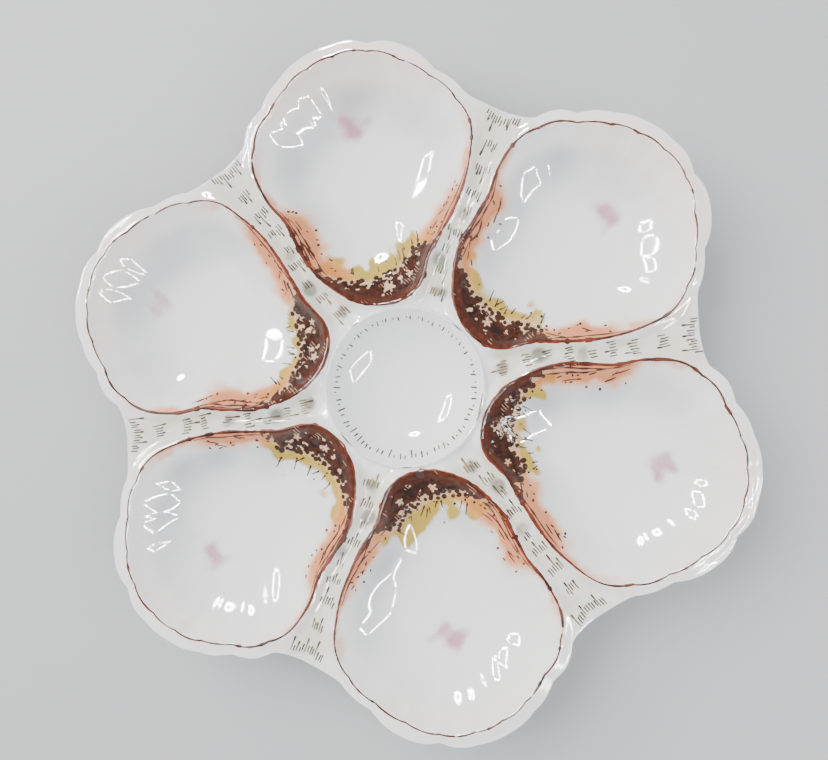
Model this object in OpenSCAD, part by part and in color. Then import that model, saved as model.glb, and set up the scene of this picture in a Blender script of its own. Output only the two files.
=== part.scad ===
// Oyster plate: one pressed porcelain body with six shell wells round a sauce well,
// standing on a turned foot ring, with raised enamel fired onto the crests and heels.
// The origin is at the centre of the foot, on the table. One lobe points along +Y.

/* [Plate] */
// Distance across two opposite lobe tips
plate_w = 229; // [222:1:238]
// How far the notches between the lobes lie inside the circle round the lobe tips
notch_d = 20.5; // [18:0.5:25]
// Height of the crest at the outer tip of a well
rim_h = 23.5; // [22:0.5:26]
// Height of the crest at the heel, the inner end of a well
heel_h = 19; // [18:0.5:20.5]
// Thickness of the porcelain under the wells
wall = 3.8; // [3.2:0.1:4.4]
// Thickness of the outer edge
rim_t = 2.8; // [2.2:0.1:3.4]
// Depth of each small scallop along the edge
scallop_d = 0.8; // [0.2:0.1:1.2]

/* [Wells] */
// Plain margin between a well's crest and the edge
margin = 3.1; // [2.4:0.1:4]
// How far the crest is pinched in where two scallops meet
pinch_d = 0.55; // [0:0.05:0.8]
// Width of a channel between two wells at its narrowest
channel_w = 8; // [7:0.5:9.5]
// Depth of a channel below the crests beside it
channel_d = 3; // [2:0.25:4]
// Width of the rounded flank outside a crest
flank_w = 4.2; // [3:0.2:5]

/* [Sauce well] */
// Diameter of the raised ring round the sauce well
sauce_w = 51.6; // [48:0.2:54]
// Height of the raised ring above the table
ring_h = 18.6; // [18:0.1:19.4]
// Width of the raised ring
ring_w = 2.4; // [2:0.1:3]
// Gap between the raised ring and the heels round it
heel_gap = 1.8; // [1.6:0.1:3]

/* [Foot] */
// Diameter of the foot ring along its middle
foot_w = 118; // [112:1:124]
// Height of the foot ring
foot_h = 4.5; // [3.5:0.25:5.5]
// Width of the foot ring where it meets the body
foot_t = 6; // [5:0.25:7]
// Width of the unglazed face that rests on the table
foot_face = 3; // [2.5:0.25:4]

/* [Enamel] */
// Width of the enamel line along a crest
line_w = 0.8; // [0.6:0.05:1]
// Height of the enamel line above the glaze
line_t = 0.35; // [0.25:0.05:0.5]
// Thickness of the enamel patch on a heel
heel_t = 0.3; // [0.2:0.05:0.4]

/* [Hidden] */

wells = 6;
half_sector = 180 / wells;

// The outline of a well's crest, as shares of the ellipse that the well would fill,
// at equal steps anticlockwise from the right. The heel leans a little to the left.
crest_shares = [
  0.89, 0.98, 0.99, 0.97, 0.97, 0.99, 1.00, 1.00, 1.00, 0.99, 1.02, 1.00,
  0.90, 0.80, 0.81, 0.87, 0.92, 0.98, 1.00, 0.96, 0.80, 0.76, 0.77, 0.82
];
// Where two scallops of the edge meet, in degrees round the well, from notch to notch
cusp_angles = [28, 45, 62, 79, 96, 110, 124, 139, 156];
// The margin at each cusp, as a share of the plain margin
margin_shares = [0.95, 0.97, 0.74, 1.44, 0.78, 1.20, 1.30, 1.12, 0.86, 1.04, 1.00];
// How far each scallop swells, as a share of the scallops' depth
scallop_shares = [0.80, 0.30, 0.75, 0.75, 0.90, 0.25, 0.30, 0.90, 1.00, 0.60];
// How far the rings of the well's surface lie from its centre to its crest
ring_shares = [0.34, 0.56, 0.71, 0.82, 0.91];
// Each pinch of the crest dies out over this share of the margin
pinch_share = 0.7;
// The belly of a well against the room between two straight channels
belly_share = 1.08;
// The wells' sides rise late, as a shell's do
bowl_power = 3;
sauce_power = 3.4;
// The channels bow towards the left-hand well near the heels, in degrees
channel_bow = 3.7;
bow_share = 0.26;
bow_spread_share = 0.13;
// The channels and the crests rise slowly and then faster towards the edge
channel_power = 1.3;
crest_power = 1.2;
// Rings between the sauce well's raised ring and its centre, as shares of the radius
sauce_shares = [0.86, 0.7, 0.5, 0.27];
// Rings of the underside, outside the foot as shares of the way to the edge,
// and inside it as shares of the foot's own radius
under_out_shares = [0.8, 0.52, 0.25];
under_in_shares = [0.74, 0.56, 0.38, 0.2];
// The underside of a well is a little larger than the well, so that its wall stays even
under_share = 1.05;

// Columns of the surface along the heel, along a channel, and along each scallop
heel_cols = 8;
side_cols = 10;
scallop_cols = 3;
scallops = len(cusp_angles) + 1;
edge_cols = scallops * scallop_cols;
cols = heel_cols + 2 * side_cols + edge_cols;

ring_r = sauce_w / 2;
inner_r = ring_r + heel_gap / 2;
heel_r = ring_r + heel_gap;
edge_inset = rim_t / 5;
notch_r = plate_w / 2 - edge_inset - notch_d;
tip_r = plate_w / 2 - edge_inset - margin - scallop_d;
mid_y = (heel_r + tip_r) / 2;
half_l = (tip_r - heel_r) / 2;
half_w = belly_share * (mid_y * sin(half_sector) - channel_w / 2) / cos(half_sector);

pinch_w = margin * pinch_share;
well_floor = foot_h + wall;
sauce_floor = well_floor;
edge_h = rim_h - rim_t / 3;
notch_h = rim_h - channel_d;
groove_h = heel_h - channel_d / 2;
rib_slope = foot_t / 3;
land_in = foot_w / 2 - foot_t / 2 - rib_slope / 2;
land_out = foot_w / 2 + foot_t / 2 + rib_slope / 2;

function lerp(a, b, t) = a + (b - a) * t;
function ease(t) = (1 - cos(180 * max(0, min(1, t)))) / 2;
function at(list, i) = list[(i + len(list)) % len(list)];

// A smooth closed curve through a list of values, u in steps from one value to the next
function smooth(list, u) =
  let (i = floor(u), t = u - i)
  let (a = at(list, i - 1), b = at(list, i), c = at(list, i + 1), d = at(list, i + 2))
  b + (c - a) * t / 2 + (2 * a - 5 * b + 4 * c - d) * t * t / 2
    + (3 * b - a - 3 * c + d) * t * t * t / 2;

// From the centre of a well: the step in millimetres that one share makes at an angle,
// the share at which the plain outline of the crest lies there, the crest itself, pinched
// in at each cusp of the scallops, and the angle and the share at which a point lies
function reach(angle) = [half_w * cos(angle), half_l * sin(angle)];
function plain_share(angle) =
  smooth(crest_shares, ((angle + 360) % 360) * len(crest_shares) / 360);
function cusp_gap(angle) =
  min([for (a = cusp_angles) abs(angle - a)]) * PI / 180 * norm(reach(angle));
function crest_share(angle) =
  let (turn = (angle + 360) % 360)
  plain_share(turn) - pinch_d / norm(reach(turn)) * exp(-cusp_gap(turn) / pinch_w);
function shares_of(p) = [p.x / half_w, (p.y - mid_y) / half_l];
function angle_of(p) = let (q = shares_of(p)) (atan2(q.y, q.x) + 360) % 360;
function well_share(p) = norm(shares_of(p)) / crest_share(angle_of(p));

function crest_h(angle) =
  lerp(heel_h, rim_h, pow(max(0, (1 + crest_share(angle) * sin(angle)) / 2), crest_power));
function well_h(share, angle) =
  lerp(well_floor, crest_h(angle), pow(share, bowl_power));
function channel_h(t) =
  lerp(heel_h - channel_d, notch_h, pow(max(0, min(1, t)), channel_power));
function channel_angle(r) =
  let (t = (r - inner_r) / (notch_r - inner_r))
  half_sector - channel_bow * exp(-pow((t - bow_share) / bow_spread_share, 2));

// A well's own field is bounded by an arc at its heel, the middle of the channel on its
// right, the edge of the plate and the middle of the channel on its left
function polar(r, angle, h) = [r * sin(angle), r * cos(angle), h];
function channel_point(i) =
  let (t = i / side_cols, r = lerp(inner_r, notch_r, t))
  polar(r, channel_angle(r), channel_h(t));
function heel_point(i) =
  let (t = 2 * i / heel_cols - 1)
  polar(inner_r, half_sector * t, lerp(groove_h, channel_h(0), t * t));

notch_angle = angle_of(channel_point(side_cols));
cusps = concat([notch_angle], cusp_angles, [180 - notch_angle]);

// The edge stands off the plain outline by the margin, swells at each scallop and flares
// out to the notch at both ends of the lobe
function flare(angle, base) =
  let (p = polar(notch_r, half_sector, 0))
  norm([p.x, p.y - mid_y]) - plain_share(angle) * norm(reach(angle)) - base;
function edge_gap(q) =
  let (i = min(floor(q), scallops - 1), f = q - i)
  let (base = margin * lerp(margin_shares[i], margin_shares[i + 1], f))
  let (near = max(0, 1 - q, q - scallops + 1), end = q < 1 ? notch_angle : 180 - notch_angle)
  base + scallop_d * scallop_shares[i] * sin(180 * f) + flare(end, base) * near * near;
function edge_point(i) =
  let (q = i / scallop_cols, k = min(floor(q), scallops - 1))
  let (angle = lerp(cusps[k], cusps[k + 1], q - k), step = reach(angle))
  let (p = (plain_share(angle) + edge_gap(q) / norm(step)) * step)
  let (x = p.x, y = p.y + mid_y, turn = atan2(x, y) / half_sector)
  [x, y, lerp(edge_h, notch_h, turn * turn)];

// A point of a well's own frame, carried to the place of well k
function carry(k, p) =
  let (a = 360 * k / wells)
  [p.x * cos(a) - p.y * sin(a), p.x * sin(a) + p.y * cos(a), p.z];

right_side = [for (i = [0:side_cols]) channel_point(i)];
left_side = [for (p = right_side) carry(1, p)];
heel_arc = [for (i = [1:heel_cols - 1]) heel_point(i)];
edge_arc = [for (i = [1:edge_cols - 1]) edge_point(i)];
field = concat(
  [left_side[0]], heel_arc, right_side, edge_arc,
  [for (i = [side_cols:-1:1]) left_side[i]]
);
angles = [for (p = field) angle_of(p)];

// One ring of a well's surface inside the crest, at a share of the way from its centre
function well_point(share, angle) =
  let (p = share * crest_share(angle) * reach(angle))
  [p.x, p.y + mid_y, well_h(share, angle)];
// The crest carries a narrow flat for the enamel line, and its flank falls to the field
function crest_point(j, off, h) =
  let (angle = angles[j], step = reach(angle), share = crest_share(angle))
  let (p = (share + off / norm(step)) * step)
  [p.x, p.y + mid_y, h];
function flank_point(j, t) =
  let (angle = angles[j], crest = crest_point(j, 0, 0), out = field[j])
  let (room = norm([out.x - crest.x, out.y - crest.y]) - line_w / 2)
  let (off = line_w / 2 + t * min(room, flank_w))
  crest_point(j, off, lerp(crest_h(angle), out.z, ease(t)));

flank_shares = [0.35, 0.78];
well_rings = concat(
  [for (s = ring_shares) [for (a = angles) well_point(s, a)]],
  [for (side = [-1, 1]) [for (j = [0:cols - 1])
    crest_point(j, side * line_w / 2, crest_h(angles[j]))]],
  [for (t = flank_shares) [for (j = [0:cols - 1]) flank_point(j, t)]]
);
rings = len(well_rings);
line_in = len(ring_shares);
line_out = line_in + 1;

// Heights of the underside: it follows the wells and the sauce well at the wall's depth
function fold(r, angle) =
  let (side = channel_angle(r))
  angle > side ? angle - 2 * half_sector :
  angle < side - 2 * half_sector ? angle + 2 * half_sector : angle;
function under_h(r, angle) =
  let (t = (r - inner_r) / (notch_r - inner_r), top = channel_h(t) - wall)
  let (share = r < inner_r ? r / inner_r : well_share(polar(r, fold(r, angle), 0)) / under_share)
  lerp(foot_h, top, pow(min(1, share), r < inner_r ? sauce_power : bowl_power));

// Places of the points in one list: channels, heel arcs, edges, wells, then the rest
side_n = side_cols + 1;
heel_n = heel_cols - 1;
edge_n = edge_cols - 1;
arc_at = wells * side_n;
edge_at = arc_at + wells * heel_n;
grid_at = edge_at + wells * edge_n;
well_n = rings * cols + 1;
sauce_at = grid_at + wells * well_n;
sauce_n = wells * heel_cols;
rim_n = wells * edge_cols;

function side_id(k, i) = (k % wells) * side_n + i;
function arc_id(k, i) = arc_at + k * heel_n + i - 1;
function edge_id(k, i) = edge_at + k * edge_n + i - 1;
function ring_id(k, r, j) = grid_at + k * well_n + r * cols + j % cols;
function field_loop(k) = concat(
  [side_id(k + 1, 0)],
  [for (i = [1:heel_n]) arc_id(k, i)],
  [for (i = [0:side_cols]) side_id(k, i)],
  [for (i = [1:edge_n]) edge_id(k, i)],
  [for (i = [side_cols:-1:1]) side_id(k + 1, i)]
);
inner_loop = [for (k = [0:wells - 1]) for (i = [0:heel_n])
  i == 0 ? side_id(k, 0) : arc_id(k, heel_cols - i)];
edge_loop = [for (k = [0:wells - 1]) for (i = [0:edge_n])
  i == 0 ? side_id(k, side_cols) : edge_id(k, i)];

// The sauce well: the raised ring, its inner shoulder and the bowl
sauce_rings = concat(
  [[ring_r + ring_w / 4, ring_h - ring_w / 8], [ring_r - ring_w / 4, ring_h],
   [ring_r - ring_w / 2, ring_h - ring_w / 4]],
  [for (s = sauce_shares) let (r = s * (ring_r - ring_w / 2))
    [r, lerp(sauce_floor, ring_h - ring_w / 2, pow(s, sauce_power))]]
);
loop_dirs = [for (k = [0:wells - 1]) for (i = [0:heel_n])
  let (p = i == 0 ? right_side[0] : heel_arc[heel_n - i]) carry(k, p)];
sauce_points = concat(
  [for (ring = sauce_rings) for (p = loop_dirs) let (u = ring[0] / norm([p.x, p.y]))
    [p.x * u, p.y * u, ring[1]]],
  [[0, 0, sauce_floor]]
);

// The edge turns under, and the underside runs in to the foot's land and the middle
edge_round = [for (k = [0:wells - 1]) for (i = [0:edge_n])
  let (p = i == 0 ? right_side[side_cols] : edge_arc[i - 1]) carry(k, p)];
function inset(p, d, drop) =
  let (u = 1 - d / norm([p.x, p.y])) [p.x * u, p.y * u, p.z - drop];
under_dirs = [for (k = [0:wells - 1]) for (i = [0:2:edge_n])
  let (p = i == 0 ? right_side[side_cols] : edge_arc[i - 1])
  [norm([p.x, p.y]), atan2(p.x, p.y), 360 * k / wells, p.z]];
function under_point(dir, r, h) =
  [r * sin(dir[1] - dir[2]), r * cos(dir[1] - dir[2]), h];
under_rings = concat(
  [for (s = under_out_shares) [for (dir = under_dirs)
    let (r = lerp(land_out + rib_slope, dir[0], s), edge = dir[3] - rim_t)
    under_point(dir, r, min(edge, under_h(r, dir[1])))]],
  [for (r = [land_out + rib_slope]) [for (dir = under_dirs)
    under_point(dir, r, under_h(r, dir[1]))]],
  [for (r = [land_out, land_in]) [for (dir = under_dirs) under_point(dir, r, foot_h)]],
  [for (r = [land_in - rib_slope]) [for (dir = under_dirs)
    under_point(dir, r, under_h(r, dir[1]))]],
  [for (s = under_in_shares) let (r = s * land_in) [for (dir = under_dirs)
    under_point(dir, r, under_h(r, dir[1]))]]
);
under_n = len(under_dirs);
lip_at = sauce_at + len(sauce_points);
under_at = lip_at + 2 * rim_n;

body_points = concat(
  [for (k = [0:wells - 1]) for (p = right_side) carry(k, p)],
  [for (k = [0:wells - 1]) for (p = heel_arc) carry(k, p)],
  [for (k = [0:wells - 1]) for (p = edge_arc) carry(k, p)],
  [for (k = [0:wells - 1]) for (p = concat([for (ring = well_rings) each ring],
    [[0, mid_y, well_floor]])) carry(k, p)],
  sauce_points,
  [for (p = edge_round) inset(p, -edge_inset, rim_t / 2)],
  [for (p = edge_round) inset(p, edge_inset / 2, rim_t)],
  [for (ring = under_rings) each ring],
  [[0, 0, foot_h]]
);

// Triangles between an outer and an inner loop of points, seen anticlockwise
function strip(a, b) =
  let (na = len(a), nb = len(b))
  concat(
    [for (i = [0:na - 1]) [a[i], a[(i + 1) % na], b[floor((2 * i + 1) * nb / na / 2 + 1 / 2) % nb]]],
    [for (j = [0:nb - 1]) [b[j], a[ceil((2 * j + 1) * na / nb / 2 - 1 / 2) % na], b[(j + 1) % nb]]]
  );
function fan(a, centre) = [for (i = [0:len(a) - 1]) [a[i], a[(i + 1) % len(a)], centre]];
function run(start, n) = [for (i = [0:n - 1]) start + i];
function turned(faces) = [for (f = faces) [f[2], f[1], f[0]]];
function skins(loops) = [for (i = [0:len(loops) - 2]) each strip(loops[i], loops[i + 1])];

function well_faces(k) =
  let (loops = [for (r = [rings - 1:-1:0]) [for (j = [0:cols - 1]) ring_id(k, r, j)]])
  concat(skins(concat([field_loop(k)], loops)), fan(loops[rings - 1], ring_id(k, rings, 0)));
sauce_loops = [for (i = [0:len(sauce_rings) - 1]) run(sauce_at + i * sauce_n, sauce_n)];
under_loops = [for (i = [0:len(under_rings) - 1]) run(under_at + i * under_n, under_n)];
body_faces = concat(
  [for (k = [0:wells - 1]) each well_faces(k)],
  skins(concat([inner_loop], sauce_loops)),
  fan(sauce_loops[len(sauce_rings) - 1], lip_at - 1),
  turned(skins(concat([edge_loop, run(lip_at, rim_n), run(lip_at + rim_n, rim_n)], under_loops))),
  turned(fan(under_loops[len(under_rings) - 1], len(body_points) - 1))
);

// Faces are listed anticlockwise from outside, and a polyhedron takes them clockwise
module solid(points, faces) {
  polyhedron(points, [for (f = faces) [for (i = [len(f) - 1:-1:0]) f[i]]], convexity = 10);
}

module porcelain_body() {
  color("white") solid(body_points, body_faces);
}

module foot_ring() {
  top = [foot_w / 2 - foot_t / 2, foot_w / 2 + foot_t / 2];
  face = [foot_w / 2 - foot_face / 2, foot_w / 2 + foot_face / 2];
  knee = foot_h / 3;
  color("ivory")
    rotate_extrude($fn = 90)
      polygon([
        [face[0], 0], [face[1], 0], [lerp(face[1], top[1], 2 / 3), knee],
        [top[1], foot_h], [top[0], foot_h], [lerp(face[0], top[0], 2 / 3), knee]
      ]);
}

// The enamel line is a low ridge that sits on the flat of the crest, all round a well
line_points = concat(
  well_rings[line_out],
  [for (j = [0:cols - 1]) crest_point(j, 0, crest_h(angles[j]) + line_t)],
  well_rings[line_in]
);
line_faces = let (out = run(0, cols), top = run(cols, cols), in = run(2 * cols, cols))
  concat(strip(out, top), strip(top, in), turned(strip(out, in)));
module rim_line(k) {
  color("saddlebrown") solid([for (p = line_points) carry(k, p)], line_faces);
}

// The heel enamel is a layer laid over the inner face of the heel. Down each column of the
// surface it covers its own share of the way from the crest to the well's centre, most of
// it right of the middle, and its border runs smoothly from column to column.
heel_from = -3;
heel_depth_shares = [
  0.05, 0.07, 0.11, 0.16, 0.19, 0.21, 0.24, 0.27,
  0.29, 0.31, 0.32, 0.31, 0.27, 0.19, 0.11, 0.05
];
heel_span = len(heel_depth_shares) - 1;
column_shares = concat(ring_shares, [1]);
function heel_share(i) = 1 - heel_depth_shares[i];
function heel_row(i) = len([for (s = ring_shares) if (s <= heel_share(i)) s]) - 1;
heel_first = min([for (i = [0:heel_span]) heel_row(i)]);
heel_rows = line_in - heel_first + 1;

// A point of the layer's underside lies on the well's surface: on a ring of that surface
// or, for the first point of a column, part of the way from one ring to the next
function heel_point_at(r, i) =
  let (j = (i + heel_from + cols) % cols, low = column_shares[r], high = column_shares[r + 1])
  r > heel_row(i) ? well_rings[r][j] :
  lerp(well_rings[r][j], well_rings[r + 1][j], (heel_share(i) - low) / (high - low));
heel_points = [for (lift = [0, heel_t]) for (r = [heel_first:line_in]) for (i = [0:heel_span])
  let (p = heel_point_at(max(r, heel_row(i)), i)) [p.x, p.y, p.z + lift]];
function heel_id(top, r, i) =
  (top * heel_rows + max(r, heel_row(i)) - heel_first) * (heel_span + 1) + i;
function heel_wall(r0, i0, r1, i1) = [
  [heel_id(0, r0, i0), heel_id(0, r1, i1), heel_id(1, r1, i1)],
  [heel_id(0, r0, i0), heel_id(1, r1, i1), heel_id(1, r0, i0)]
];
function heel_pair(top, r, i) = [
  [heel_id(top, r + 1, i), heel_id(top, r + 1, i + 1), heel_id(top, r, i + 1)],
  [heel_id(top, r, i), heel_id(top, r + 1, i), heel_id(top, r, i + 1)]
];
heel_quads = [for (i = [0:heel_span - 1]) for (r = [heel_first:line_in - 1]) [r, i]];
heel_sheet = concat(
  [for (q = heel_quads) each heel_pair(1, q[0], q[1])],
  [for (q = heel_quads) each turned(heel_pair(0, q[0], q[1]))],
  [for (i = [0:heel_span - 1]) each heel_wall(line_in, i, line_in, i + 1)],
  [for (i = [0:heel_span - 1]) each heel_wall(heel_first, i + 1, heel_first, i)],
  [for (r = [heel_first:line_in - 1]) each heel_wall(r, 0, r + 1, 0)],
  [for (r = [heel_first:line_in - 1]) each heel_wall(r + 1, heel_span, r, heel_span)]
);
// Where a column starts above a row, the row's faces have shrunk to nothing
heel_faces = [for (f = heel_sheet) if (f[0] != f[1] && f[1] != f[2] && f[2] != f[0]) f];
module heel_enamel(k) {
  color("sienna") solid([for (p = heel_points) carry(k, p)], heel_faces);
}

porcelain_body();
foot_ring();
for (k = [1:wells]) {
  rim_line(k - 1);
  heel_enamel(k - 1);
}
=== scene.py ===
import math

import bmesh
import bpy
import numpy as np
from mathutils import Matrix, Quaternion, Vector


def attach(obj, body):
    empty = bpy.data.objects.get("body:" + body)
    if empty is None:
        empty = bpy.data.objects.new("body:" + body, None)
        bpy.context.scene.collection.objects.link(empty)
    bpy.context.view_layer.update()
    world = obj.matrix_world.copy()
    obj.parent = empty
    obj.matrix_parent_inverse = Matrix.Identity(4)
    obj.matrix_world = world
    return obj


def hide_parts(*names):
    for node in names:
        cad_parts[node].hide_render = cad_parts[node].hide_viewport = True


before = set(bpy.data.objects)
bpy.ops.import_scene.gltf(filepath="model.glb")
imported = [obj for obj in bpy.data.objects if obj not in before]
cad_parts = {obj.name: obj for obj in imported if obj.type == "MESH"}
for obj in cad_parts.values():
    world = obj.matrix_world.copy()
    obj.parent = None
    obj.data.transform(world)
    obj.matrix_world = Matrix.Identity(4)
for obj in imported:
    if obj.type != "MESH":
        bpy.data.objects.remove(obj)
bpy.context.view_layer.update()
MM = 0.001

# The camera. It hangs over the table a quarter of a metre up, a little right of the
# plate's middle, and looks nearly straight down, turned so that no lobe points up.
EYE = (27.5 * MM, -9.6 * MM, 268.6 * MM)
EYE_TURN = Vector((0.0366, 0.0989, -0.1750))
LENS = 33.9
SENSOR = 36.0

camera_data = bpy.data.cameras.new("camera")
camera_data.lens = LENS
camera_data.sensor_width = SENSOR
camera_data.clip_start = 0.01
camera = bpy.data.objects.new("camera", camera_data)
camera.location = EYE
camera.rotation_mode = "QUATERNION"
camera.rotation_quaternion = Quaternion(EYE_TURN.normalized(), EYE_TURN.length)
bpy.context.scene.collection.objects.link(camera)
bpy.context.scene.camera = camera


# The table and the lights. A wide pale board, matt, under two soft boxes and a pale
# room. None of it belongs to the plate.
class Wire:
    """A socket in a material. Arithmetic on wires adds Math nodes, node() adds any other."""

    def __init__(self, tree, socket=None):
        self.tree, self.socket = tree, socket

    def node(self, kind, inputs=(), settings=(), stops=(), out=0):
        """Adds a node, sets it, then feeds its sockets, found by identifier, by value or wire."""
        made = self.tree.nodes.new(kind)
        for name, value in dict(settings).items():
            setattr(made, name, value)
        for place, colour in stops:
            ramp = made.color_ramp.elements
            spare = [e for e in ramp if e.position == place]
            (spare[0] if spare else ramp.new(place)).color = (*colour, 1)
        for socket in made.inputs:
            value = dict(inputs).get(socket.identifier)
            if isinstance(value, Wire):
                self.tree.links.new(value.socket, socket)
            elif value is not None:
                whole = socket.type == "RGBA" and len(value) == 3
                socket.default_value = (*value, 1) if whole else value
        if isinstance(out, str):
            return Wire(self.tree, next(o for o in made.outputs if o.identifier == out))
        return Wire(self.tree, made.outputs[out])

    def maths(self, operation, other=0.0, flipped=False):
        """A Math node on this wire and other, in that order unless flipped."""
        pair = (other, self) if flipped else (self, other)
        inputs = {"Value": pair[0], "Value_001": pair[1]}
        return self.node("ShaderNodeMath", inputs, {"operation": operation})

    def __add__(self, other):
        return self.maths("ADD", other)

    def __sub__(self, other):
        return self.maths("SUBTRACT", other)

    def __rsub__(self, other):
        return self.maths("SUBTRACT", other, flipped=True)

    def __mul__(self, other):
        return self.maths("MULTIPLY", other)

    __radd__ = __add__
    __rmul__ = __mul__

    def step(self, low, high, start=0.0, end=1.0):
        """A smooth step from start to end while the wire goes from low to high."""
        inputs = {"Value": self, "From Min": low, "From Max": high, "To Min": start, "To Max": end}
        return self.node("ShaderNodeMapRange", inputs, {"interpolation_type": "SMOOTHSTEP"})

    def mix(self, first, second):
        """Colour first where the wire is 0, second where it is 1."""
        inputs = {"Factor_Float": self, "A_Color": first, "B_Color": second}
        return self.node("ShaderNodeMix", inputs, {"data_type": "RGBA"}, out="Result_Color")

    def mark(self, name):
        """A float attribute of the mesh."""
        return self.node("ShaderNodeAttribute", (), {"attribute_name": name}, out="Fac")

    def place(self):
        """The piece's own Object coordinates, in metres."""
        return self.node("ShaderNodeTexCoord", out="Object")

    def noise(self, grain, detail=3.0, rough=0.55, seed=0.0):
        """Noise whose blobs are about grain metres across, between 0 and 1."""
        inputs = {"Vector": self.place(), "Scale": 1 / grain, "Detail": detail,
                  "Roughness": rough, "W": seed}
        return self.node("ShaderNodeTexNoise", inputs, {"noise_dimensions": "4D"})

    def bump(self, height, depth):
        """A normal tilted as by a relief of height, from 0 to 1, times depth in metres."""
        return self.node("ShaderNodeBump", {"Height": height, "Distance": depth, "Strength": 1.0})


def finish_named(name, build):
    """A material whose Principled inputs are what build returns for a fresh wire."""
    material = bpy.data.materials.new(name)
    material.use_nodes = True
    tree = material.node_tree
    tree.nodes.clear()
    wire = Wire(tree)
    shader = wire.node("ShaderNodeBsdfPrincipled", build(wire))
    output = tree.nodes.new("ShaderNodeOutputMaterial")
    tree.links.new(shader.socket, output.inputs["Surface"])
    return material


def board(wire):
    """Pale matt paint with a broad, faint mottle."""
    grain = wire.noise(0.2)
    return {"Base Color": grain.mix((0.38, 0.38, 0.39), (0.42, 0.42, 0.42)), "Roughness": 0.7}


BOARD_SIZE = 6.0
board_mesh = bpy.data.meshes.new("table")
half = BOARD_SIZE / 2
board_mesh.from_pydata([(-half, -half, 0), (half, -half, 0), (half, half, 0), (-half, half, 0)],
                       [], [(0, 1, 2, 3)])
table = bpy.data.objects.new("table", board_mesh)
table.data.materials.append(finish_named("pale_board", board))
bpy.context.scene.collection.objects.link(table)

SOFT_BOXES = (
    ((-1.25, 1.05, 1.50), (2.4, 2.0), 104.0, (1.0, 0.985, 0.96)),
    ((1.2, -0.8, 1.6), (2.0, 1.6), 33.0, (0.96, 0.98, 1.0)),
)
FRAMES = (
    ((-0.62, 0.44, 0.80), (0.40, 0.20), 24.0, 0.024),
    ((0.56, -0.42, 0.70), (0.52, 0.34), -35.0, 0.013),
    ((-0.10, 0.70, 0.72), (0.10, 0.10), 10.0, 0.036),
)
BAR_GLOW = 1500.0


def soft_light(name, place, size, power, colour=(1, 1, 1), spin=0.0, shift=(0, 0)):
    """A flat lamp at place, facing the plate, spun about that line and shifted in its plane."""
    light = bpy.data.lights.new(name, "AREA")
    light.shape = "RECTANGLE"
    light.size, light.size_y = size
    light.energy = power
    light.color = colour
    lamp = bpy.data.objects.new(name, light)
    facing = (-Vector(place)).to_track_quat("-Z", "Y") @ Quaternion((0, 0, 1), math.radians(spin))
    lamp.rotation_mode = "QUATERNION"
    lamp.rotation_quaternion = facing
    lamp.location = Vector(place) + facing @ Vector((*shift, 0))
    bpy.context.scene.collection.objects.link(lamp)
    return lamp


# The soft boxes only light. The thin frames, bars with open corners, only glint.
BAR_SHARE = 0.80
for i, (place, size, power, colour) in enumerate(SOFT_BOXES):
    soft_light(f"soft_box_{i}", place, size, power, colour).visible_glossy = False
for i, (place, (wide, tall), spin, bar) in enumerate(FRAMES):
    for side, (shift, size) in enumerate((
            ((0, tall / 2), (wide * BAR_SHARE, bar)), ((0, -tall / 2), (wide * BAR_SHARE, bar)),
            ((wide / 2, 0), (bar, tall * BAR_SHARE)), ((-wide / 2, 0), (bar, tall * BAR_SHARE)))):
        power = BAR_GLOW * size[0] * size[1]
        lamp = soft_light(f"frame_{i}_bar_{side}", place, size, power, spin=spin, shift=shift)
        lamp.visible_diffuse = False

ROOM = (0.78, 0.82, 0.88)
ROOM_LIGHT = 1.08
world = bpy.data.worlds.new("room")
world.use_nodes = True
world.node_tree.nodes["Background"].inputs["Color"].default_value = (*ROOM, 1)
world.node_tree.nodes["Background"].inputs["Strength"].default_value = ROOM_LIGHT
bpy.context.scene.world = world


# The porcelain body. One casting, pressed in a mould and glazed: six shell wells, the
# channels between them, the sauce well with its ring, and the scalloped edge. The washes
# of colour are painted on the glaze and fired, so they belong to its finish. Its finish also
# carries painted shade on one side of each well and painted light just inside the outer crest.
LOBES = 6
SECTOR = 360 / LOBES
HALF_SECTOR = SECTOR / 2
PLATE_W = 229 * MM
NOTCH_D = 20.5 * MM
RIM_H = 23.5 * MM
HEEL_H = 19 * MM
WALL = 3.8 * MM
RIM_T = 2.8 * MM
SCALLOP_D = 0.8 * MM
MARGIN = 3.1 * MM
CHANNEL_W = 8 * MM
CHANNEL_D = 3 * MM
FLANK_W = 4.2 * MM
RING_R = 25.8 * MM
RING_H = 18.6 * MM
RING_W = 2.4 * MM
HEEL_GAP = 1.8 * MM
FOOT_R = 59 * MM
FOOT_H = 4.5 * MM
FOOT_T = 6 * MM

CREST_SHARES = np.array([
    0.89, 0.98, 0.99, 0.97, 0.97, 0.99, 1.00, 1.00, 1.00, 0.99, 1.02, 1.00,
    0.90, 0.80, 0.81, 0.87, 0.92, 0.98, 1.00, 0.96, 0.80, 0.76, 0.77, 0.82,
])
CUSP_ANGLES = (28, 45, 62, 79, 96, 110, 124, 139, 156)
MARGIN_SHARES = np.array([0.95, 0.97, 0.74, 1.44, 0.78, 1.20, 1.30, 1.12, 0.86, 1.04, 1.00])
SCALLOP_SHARES = np.array([0.80, 0.30, 0.75, 0.75, 0.90, 0.25, 0.30, 0.90, 1.00, 0.60])
BELLY_SHARE = 1.08
BOWL_POWER = 3
SAUCE_POWER = 3.4
CHANNEL_BOW = 3.7
BOW_SHARE = 0.26
BOW_SPREAD_SHARE = 0.13
CHANNEL_POWER = 1.3
CREST_POWER = 1.2
UNDER_SHARE = 1.05
CREST_ROUND = 0.8 * MM
PINCH = 0.55 * MM
PINCH_SHARE = 0.7
FLUTE = 0.012 * MM
WOBBLE = 0.13 * MM
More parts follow.
